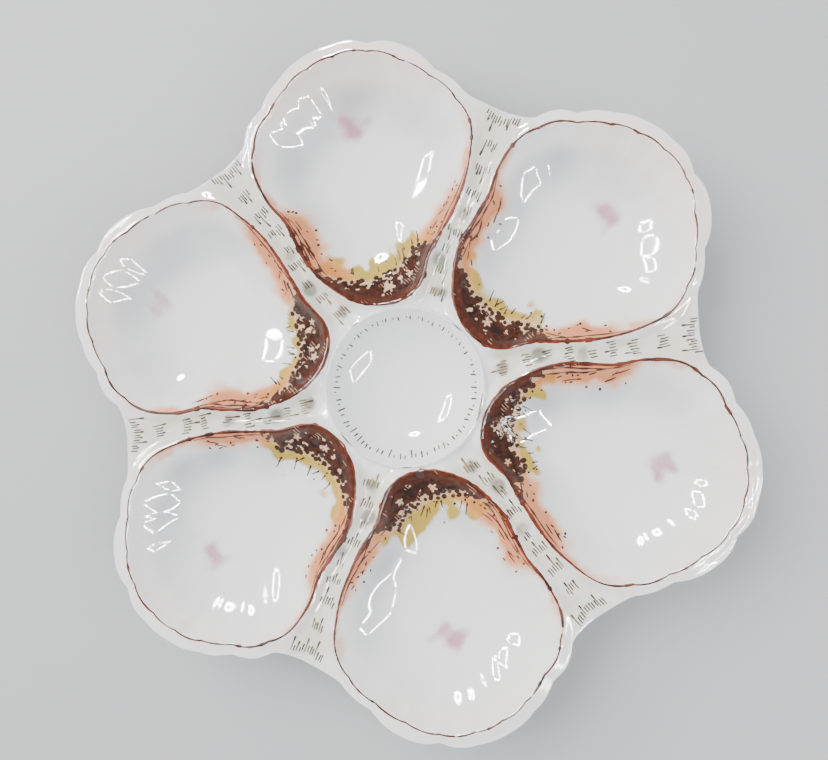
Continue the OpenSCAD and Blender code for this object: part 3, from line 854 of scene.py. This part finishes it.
# The heel enamel. Thick dark brown dabbed on with a full brush over the cream ground, solid
# along the crest and broken into blobs towards the well, with gaps and stars where the
# ground shows and fine lines scratched through it.
HEEL_COLS, HEEL_ROWS = 200, 64
HEEL_REACH = 16 * MM
HEEL_LAP = 0.3 * MM
HEEL_LIFT = 0.20 * MM
HEEL_SINK = 0.3 * MM
SCRATCH_GAP = 0.92 * MM
BORDER_W, BORDER_SOFT = 3.4 * MM, 1.8 * MM
SOLID_W, SOLID_SOFT = 3.2 * MM, MM
BLOB_GRAINS, HOLE_GRAINS = (3.4 * MM, 1.7 * MM), (4.2 * MM, 1.8 * MM)

# The stars: how many, how many degrees apart and with how many arms, at what angle the first
# stands, and how far in from the crest and how big they are in mm.
STARS, STAR_GAP, STAR_ARMS = 3, 20, 5
STAR_FROM, STAR_DEEP, STAR_SIZE = (244, 254), (3.6, 6.4), (0.9, 1.4)


def heel_brown(wire):
    """Brown enamel, red-brown along the crest and olive in the loose dabs, with purple-grey
    bruises. The scratches are stripes where a sine of the place runs high, in patches."""
    dab = wire.noise(2.4 * MM, 3.0, 0.6)
    deep = dab.step(0.38, 0.62).mix((0.019, 0.006, 0.003), (0.062, 0.0155, 0.0055))
    border = dab.step(0.3, 0.7).mix((0.104, 0.023, 0.0085), (0.040, 0.009, 0.003))
    colour = wire.mark("border").mix(deep, border)
    bruise = wire.noise(4.5 * MM, 1.0, seed=2.0).step(0.62, 0.67) * 0.7
    colour = bruise.mix(colour, (0.050, 0.034, 0.038))
    x, y = (wire.node("ShaderNodeSeparateXYZ", {"Vector": wire.place()}, out=axis)
            for axis in "XY")
    along = (x * 0.8 + y * 0.6) * (2 * math.pi / SCRATCH_GAP)
    bent = along + wire.noise(3 * MM, 0.0) * 5.0
    patch = wire.noise(3.6 * MM, 0.0, seed=5.0).step(0.66, 0.69)
    scratch = bent.maths("SINE").step(0.50, 0.75) * patch
    colour = (scratch * 0.8).mix(colour, (0.42, 0.24, 0.15))
    colour = wire.mark("olive").mix(colour, (0.042, 0.018, 0.006))
    return {"Base Color": colour, "Roughness": dab.step(0.3, 0.7, 0.03, 0.08), "IOR": 1.38,
            "Normal": wire.bump(dab, 0.14 * MM)}


heel_enamel = finish_named("heel_enamel", heel_brown)
angle = np.linspace(HEEL_STATIONS[0], HEEL_STATIONS[-1], HEEL_COLS)[None, :]
depth = np.linspace(-HEEL_LAP, HEEL_REACH, HEEL_ROWS)[:, None]
x, y = np.moveaxis(beside_crest(angle, depth), -1, 0)
covered = np.interp(angle, HEEL_STATIONS, HEEL_DEPTHS)
border = np.broadcast_to(fall(depth, BORDER_W, BORDER_SOFT), x.shape).ravel()
marks = {"border": np.concatenate([border, border]), "olive": np.zeros(2 * x.size)}
sheet = grid_faces(HEEL_ROWS, HEEL_COLS, closed=False)
faces = np.concatenate([sheet, sheet[:, ::-1] + x.size])
for lobe in range(LOBES):
    blobs = ripple(x, y, BLOB_GRAINS[0], 600 + lobe, 16)
    blobs = blobs + 0.4 * ripple(x, y, BLOB_GRAINS[1], 620 + lobe, 16)
    gaps = ripple(x, y, HOLE_GRAINS[0], 640 + lobe, 16)
    gaps = gaps + 0.5 * ripple(x, y, HOLE_GRAINS[1], 660 + lobe, 16)
    kept = 1.0 - gaps + 2.5 * fall(depth, SOLID_W, SOLID_SOFT)
    solid = np.minimum((0.84 * covered - depth) / MM + 1.2 * blobs, 2.2 * kept)
    draw = np.random.default_rng(740 + lobe)
    stars = zip(np.arange(STARS) * STAR_GAP + draw.uniform(*STAR_FROM, STARS),
                draw.uniform(*STAR_DEEP, STARS), draw.uniform(*STAR_SIZE, STARS),
                draw.uniform(0, 2 * np.pi, STARS))
    for at, deep, size, lean in stars:
        sx, sy = beside_crest(at, deep * MM)
        arms = 1 + 0.4 * np.cos(STAR_ARMS * np.arctan2(y - sy, x - sx) + lean)
        solid = np.minimum(solid, (np.hypot(x - sx, y - sy) / MM - size * arms) * 2)
    lift = lerp(-HEEL_LIFT / 2, HEEL_LIFT, rise(solid, -0.32, 0.8))
    lift = lift * (1 + 0.25 * ripple(x, y, 3 * MM, 680 + lobe))
    base = top_height(x, y, lobe)
    upper = np.stack([x, y, base + lift], -1)
    lower = np.stack([x, y, base - HEEL_SINK], -1)
    for rim in (0, -1, np.s_[:, 0], np.s_[:, -1]):
        upper[rim] = lower[rim]
    points = np.concatenate([upper.reshape(-1, 3), lower.reshape(-1, 3)])
    heel = closed_piece(f"heel_{lobe + 1}", turned(points, lobe), faces, marks)
    heel.data.materials.append(heel_enamel)
    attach(heel, "root")
    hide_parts(f"heel_enamel_{lobe + 1}")


# Loose dabs. Round spots of the heel's brown, side by side like a leopard's where the solid
# band ends and thinning out over the ochre and peach, each a low dome.
DAB_SIDES = 12

# The grid of dabs in mm from the plate's middle, which of them are kept, and their size.
DAB_STEP, DAB_ROW_SHARE = 1.95, 0.87
DAB_COLS, DAB_ROWS, DAB_FROM = 21, 15, 27
DAB_EDGE, DAB_INSET = 0.5, 2.6 * MM
DAB_ANGLES, DAB_SIZE, DAB_LONG = (216, 318), (0.62, 0.98), (1.0, 1.35)

# A dab's rings, as shares of its size and heights in mm, and its top.
DAB_RINGS = ((1.0, -0.05), (0.88, 0.07), (0.55, 0.12))
DAB_TOP = 0.14
dab_points, dab_faces = [], []
dab_ring = np.linspace(0, 2 * np.pi, DAB_SIDES, endpoint=False)
for lobe in range(LOBES):
    draw = np.random.default_rng(700 + lobe)
    across, down = np.meshgrid(np.arange(-DAB_COLS, DAB_COLS + 1), np.arange(DAB_ROWS))
    cx = (across + 0.5 * (down % 2) + draw.uniform(-0.3, 0.3, across.shape)) * DAB_STEP * MM
    down = down + draw.uniform(-0.3, 0.3, across.shape)
    cy = (DAB_FROM + down * DAB_STEP * DAB_ROW_SHARE) * MM
    _, angle, out = well_coordinates(cx, cy)
    beyond = (-out - np.interp(angle, HEEL_STATIONS, HEEL_DEPTHS)) / MM
    loose = np.where(beyond < DAB_EDGE, 0.95, 0.30 * np.exp(-beyond / 2.4))
    packed = np.where(beyond < -2.8, 0.25, loose)
    near = (-out > DAB_INSET) & (angle > DAB_ANGLES[0]) & (angle < DAB_ANGLES[1])
    kept = (draw.random(across.shape) < packed) & near
    cx, cy, beyond = cx[kept], cy[kept], beyond[kept]
    count = len(cx)
    scale = np.where(beyond > DAB_EDGE, 0.45, 1.0)[:, None]
    size = draw.uniform(*DAB_SIZE, (count, 1)) * scale * MM
    long = draw.uniform(*DAB_LONG, (count, 1))
    lean = draw.uniform(0, np.pi, (count, 1))
    rows = []
    for share, up in DAB_RINGS:
        u = share * size * long * np.cos(dab_ring)
        v = share * size * np.sin(dab_ring)
        x = cx[:, None] + u * np.cos(lean) - v * np.sin(lean)
        y = cy[:, None] + u * np.sin(lean) + v * np.cos(lean)
        rows.append(np.stack([x, y, top_height(x, y, lobe) + up * MM], -1))
    base = top_height(cx, cy, lobe)
    cap = np.stack([cx, cy, base + DAB_TOP * MM], -1)[:, None]
    root = np.stack([cx, cy, base - DAB_TOP * MM], -1)[:, None]
    dabs = np.concatenate([np.repeat(root, DAB_SIDES, 1), *rows, np.repeat(cap, DAB_SIDES, 1)], 1)
    first = sum(len(p) for p in dab_points)
    each = grid_faces(len(rows) + 2, DAB_SIDES)
    starts = first + np.arange(count) * (len(rows) + 2) * DAB_SIDES
    dab_faces.append((each[None] + starts[:, None, None]).reshape(-1, 4))
    dab_points.append(turned(dabs.reshape(-1, 3), lobe))
dab_points = np.concatenate(dab_points)
dabs = closed_piece("heel_dabs", dab_points, np.concatenate(dab_faces),
                    {"border": np.zeros(len(dab_points)), "olive": np.full(len(dab_points), 0.75)})
dabs.data.materials.append(heel_enamel)
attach(dabs, "root")


# Fine brush strokes. Combs of short parallel ticks cross each channel, and every third or
# fourth tick is long and ends in a dot where the brush was lifted.
STROKE_N = 6
STROKE_LIFT = 0.12 * MM
SHORT_SWELL = np.array([0.75, 0.95, 1.0, 1.0, 1.1, 0.8])
LONG_SWELL = np.array([0.65, 0.8, 0.85, 0.85, 1.55, 1.25])


def straight(start, end, bow=0.0):
    """Centre lines (n, STROKE_N, 2) from start to end, bowed sideways by a sine arch."""
    t = np.linspace(0, 1, STROKE_N)[None, :, None]
    line = start[:, None] + (end - start)[:, None] * t
    side = (end - start)[:, ::-1] * np.array([-1, 1])
    return line + side[:, None] * np.asarray(bow)[..., None, None] * np.sin(np.pi * t)


def pressed(lines, half):
    """Half widths along each line: half, swollen at the last points, more so on long ones."""
    long = np.hypot(*np.moveaxis(lines[:, -1] - lines[:, 0], -1, 0))[:, None]
    return half * lerp(SHORT_SWELL, LONG_SWELL, rise(long, 2.2 * MM, 1.2 * MM))


def add_strokes(name, groups, finish):
    """One piece from groups of (centre lines, half widths, lobe, tone per stroke, surface)."""
    points, faces, tones, first = [], [], [], 0
    for xy, half, lobe, tone, height in groups:
        p, f = drawn(xy, half, STROKE_LIFT, height)
        points.append(turned(p, lobe))
        faces.append(f + first)
        tones.append(np.repeat(tone, xy.shape[1] * (len(RIDGE) + 1)))
        first += len(p)
    piece = closed_piece(name, np.concatenate(points), np.concatenate(faces),
                         {"tone": np.concatenate(tones)}, weld=1e-8)
    piece.data.materials.append(finish)
    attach(piece, "root")


TICK_TONES = ((0.0, (0.052, 0.036, 0.022)), (0.5, (0.085, 0.048, 0.026)),
              (0.8, (0.24, 0.17, 0.035)), (1.0, (0.15, 0.035, 0.014)))


def tick_finish(wire):
    """Thin enamel: sepia, then brown, olive gold and red as the tone goes from 0 to 1."""
    colour = wire.node("ShaderNodeValToRGB", {"Fac": wire.mark("tone")}, (), TICK_TONES)
    return {"Base Color": colour, "Roughness": 0.4, "IOR": 1.3}


tick_enamel = finish_named("tick_enamel", tick_finish)


def on_channel(lobe):
    """Height in the channel on a lobe's right: the higher of the two lobes that meet there."""
    return lambda xy: np.maximum(on_lobe(lobe)(xy), on_lobe(lobe - 1)(turned(xy, 1)))


# Each comb's distance from the plate's middle in mm, its ticks and its scale. A comb's start
# and the least and greatest half width of its ticks are in mm too.
COMBS = ((32.6, 6, 0.9), (39.4, 5, 0.9), (46.2, 3, 1.0), (52.6, 6, 0.85), (59.8, 3, 0.9),
         (66.0, 6, 0.85), (73.6, 6, 1.0), (81.6, 5, 1.0), (89.4, 13, 0.85))
RED_COMBS_TO, FLARED_COMBS_FROM = 41, 86
COMB_FLARE, COMB_START, TICK_HALF = 0.32, 1.8, (0.17, 0.24)
TICK_GAP = 0.87 * MM
TICK_LONG = MM * np.array([
    2.2, 2.7, 4.9, 2.3, 3.0, 2.4, 4.6, 2.7, 2.1, 3.2, 2.4, 5.3, 2.6, 2.2, 2.9,
])
tick_groups = []
for lobe in range(LOBES):
    draw = np.random.default_rng(800 + lobe)
    for place, count, scale in COMBS:
        r = place * MM + draw.uniform(-0.8, 0.8) * MM
        middle = math.radians(float(channel_angle(r)) + draw.uniform(-0.4, 0.4))
        heading = math.radians(HALF_SECTOR + draw.uniform(-5, 5))
        ahead = np.array([math.sin(heading), math.cos(heading)])
        aside = np.array([ahead[1], -ahead[0]])
        centre = r * np.array([math.sin(middle), math.cos(middle)])
        at = (np.arange(count) - (count - 1) / 2) * TICK_GAP + draw.normal(0, 0.06, count) * MM
        flare = COMB_FLARE * np.abs(at[:, None]) if place > FLARED_COMBS_FROM else 0
        start = COMB_START * MM + flare + draw.normal(0, 0.25, (count, 1)) * MM
        top = centre + at[:, None] * aside + start * ahead
        long = np.roll(TICK_LONG, draw.integers(0, 9))[:count] * scale
        long = long * draw.uniform(0.85, 1.25, count)
        low = top - long[:, None] * ahead + draw.normal(0, 0.08, (count, 2)) * MM
        tone = draw.uniform(*((0.3, 1.0) if place < RED_COMBS_TO else (0.0, 0.6)), count)
        lines = straight(top, low, draw.normal(0, 0.02, count))
        half = draw.uniform(*TICK_HALF, (count, 1)) * MM
        tick_groups.append((lines, pressed(lines, half), lobe, tone, on_channel(lobe)))

# Ticks round the inside of the sauce well, in pairs of a tick and a dot, which grow longer
# in its lower half, and a few fine arcs along its ring.
SAUCE_TICKS = 38
SAUCE_TICK_R = 23.5 * MM
SAUCE_HALF, DOT_ASIDE = (0.18, 0.26), (1.2, 1.9)
ARCS = ((-22, 7.0, 25.3), (-30, 4.5, 25.7), (212, 6.0, 25.5), (38, 4.0, 25.8),
        (262, 3.6, 25.9), (118, 3.0, 26.0))
draw = np.random.default_rng(900)
turn = np.radians(np.arange(SAUCE_TICKS) * 360 / SAUCE_TICKS + draw.normal(0, 0.7, SAUCE_TICKS))
lower = ease(0.5 - np.sin(turn + math.radians(10)) * 0.9)[:, None]
spoke = np.stack([np.cos(turn), np.sin(turn)], -1)
beside = np.stack([-np.sin(turn), np.cos(turn)], -1)
outer_r = SAUCE_TICK_R + draw.normal(0, 0.15, (SAUCE_TICKS, 1)) * MM
long = 1.1 + 1.4 * lower * draw.random((SAUCE_TICKS, 1)) + 0.4 * draw.random((SAUCE_TICKS, 1))
lean = draw.normal(0, 0.22, (SAUCE_TICKS, 1)) * MM
ticks = straight(spoke * outer_r, spoke * (outer_r - long * MM) + beside * lean)
dot = spoke * (outer_r - 0.2 * MM) + beside * draw.uniform(*DOT_ASIDE, (SAUCE_TICKS, 1)) * MM
dots = straight(dot, dot - spoke * (0.45 + 1.0 * lower * draw.random((SAUCE_TICKS, 1))) * MM)


def in_sauce(xy):
    """The surface of the sauce well at points."""
    return sauce_height(np.hypot(xy[..., 0], xy[..., 1]), GROOVE_H)


for lines in (ticks, dots):
    half = draw.uniform(*SAUCE_HALF, (SAUCE_TICKS, 1)) * MM
    tick_groups.append((lines, half * SHORT_SWELL, 0, draw.uniform(0, 0.3, SAUCE_TICKS), in_sauce))
arc_deg, arc_long, arc_r = (np.array(v)[:, None] for v in zip(*ARCS))
arc_turn = np.radians(arc_deg) + np.linspace(-0.5, 0.5, STROKE_N) * arc_long / arc_r
arcs = np.stack([np.cos(arc_turn), np.sin(arc_turn)], -1) * arc_r[..., None] * MM
arc_half = 0.17 * MM * np.sin(np.pi * np.linspace(0.12, 0.88, STROKE_N)) * np.ones_like(arc_turn)
tick_groups.append((arcs, arc_half, 0, np.zeros(len(ARCS)), in_sauce))
add_strokes("ticks", tick_groups, tick_enamel)


# Strokes inside the wells: long lines that leave the crest slowly on their way to the heel,
# short dashes over the peach, and lines that stand out over the ochre fringe.
def hair_finish(wire):
    """Red-brown to sepia, thin enough for the peach to warm it."""
    colour = wire.mark("tone").mix((0.036, 0.014, 0.008), (0.17, 0.036, 0.018))
    return {"Base Color": colour, "Roughness": 0.35, "IOR": 1.3}


hair_enamel = finish_named("hair_enamel", hair_finish)

# The strokes of each side: the angles they start between, which way they run, how many there
# are of each kind and how far in they go in mm.
SIDES = ((186, 236, 1, 5, 6.0), (304, 352, -1, 5, 4.6))
HAIR_SWELL = np.array([0.4, 0.8, 1.0, 1.0, 0.9, 0.5])
LONG_N = 26
LONG_LINES = ((356, 308, 1.5), (184, 240, 1.4), (196, 236, 3.0))
LASHES = 9

# Least and greatest half widths in mm, spans round the well in degrees and lengths in mm.
HAIR_HALF, DASH_HALF, DOT_HALF, LASH_HALF = (0.16, 0.29), (0.18, 0.28), (0.3, 0.5), (0.16, 0.24)
HAIR_SPAN, DASH_SPAN, LASH_ANGLES = (2.5, 11.0), (1.0, 3.0), (240, 302)
DOT_LONG, LASH_LONG, LASH_BEYOND = (0.35, 0.8), (1.8, 4.2), (0.8, 3.0)
hair_groups = []
for lobe in range(LOBES):
    draw = np.random.default_rng(1000 + lobe)
    surface = on_lobe(lobe)
    for first, last, towards, count, deepest in SIDES:
        t = np.linspace(0, 1, STROKE_N)
        start = draw.uniform(first, last, count)[:, None]
        span = draw.uniform(*HAIR_SPAN, count)[:, None] * towards
        depth = 1.0 + (deepest - 1.6) * draw.beta(1.2, 1.8, (count, 1))
        inward = (depth + draw.uniform(0.2, 1.5, (count, 1)) * t) * MM
        xy = beside_crest(start + span * t, inward)
        half = draw.uniform(*HAIR_HALF, (count, 1)) * MM * HAIR_SWELL
        hair_groups.append((xy, half, lobe, draw.random(count) * 0.8, surface))
        start = draw.uniform(first, last, count)[:, None]
        depth = draw.uniform(2.0, deepest + 0.8, (count, 1)) * MM
        xy = beside_crest(start + draw.uniform(*DASH_SPAN, (count, 1)) * t, depth + 0.3 * MM * t)
        half = draw.uniform(*DASH_HALF, (count, 1)) * MM * SHORT_SWELL
        hair_groups.append((xy, half, lobe, draw.random(count) * 0.5, surface))
        angle = draw.uniform(first, last, count)
        spot = beside_crest(angle, draw.uniform(1.2, deepest + 1.5, count) * MM)
        lines = straight(spot, spot + draw.uniform(*DOT_LONG, (count, 2)) * MM)
        half = draw.uniform(*DOT_HALF, (count, 1)) * MM * np.sin(np.linspace(0.4, 2.7, STROKE_N))
        hair_groups.append((lines, half, lobe, draw.random(count), surface))
    for first, last, depth in LONG_LINES:
        t = np.linspace(0, 1, LONG_N)
        angle = lerp(first + draw.normal(0, 4), last + draw.normal(0, 2), t)
        waver = 0.2 * ripple(angle, 0, 13, draw.integers(999))
        inward = (depth * (0.5 + 0.5 * np.sin(np.pi * t)) + waver) * MM
        half = 0.24 * MM * np.sin(np.pi * np.clip(t, 0.06, 0.94)) ** 0.5
        half = half * (1 + 0.4 * ripple(angle, 5, 9, 3))
        line = beside_crest(angle, inward)[None]
        hair_groups.append((line, half[None], lobe, draw.random(1) * 0.7, surface))
    angle = draw.uniform(*LASH_ANGLES, LASHES)
    covered = np.interp(angle, HEEL_STATIONS, HEEL_DEPTHS)
    depth = covered + draw.uniform(*LASH_BEYOND, LASHES) * MM
    start = beside_crest(angle, depth)
    heading = np.radians(90 + (start[:, 0] / MM) * 1.5 + draw.normal(0, 16, LASHES))
    ahead = np.stack([np.cos(heading), np.sin(heading)], -1)
    end = start + ahead * draw.uniform(*LASH_LONG, (LASHES, 1)) * MM
    lines = straight(end, start, draw.normal(0, 0.03, LASHES))
    half = draw.uniform(*LASH_HALF, (LASHES, 1)) * MM * LONG_SWELL
    hair_groups.append((lines, half, lobe, draw.random(LASHES) * 0.4, surface))
add_strokes("hairlines", hair_groups, hair_enamel)
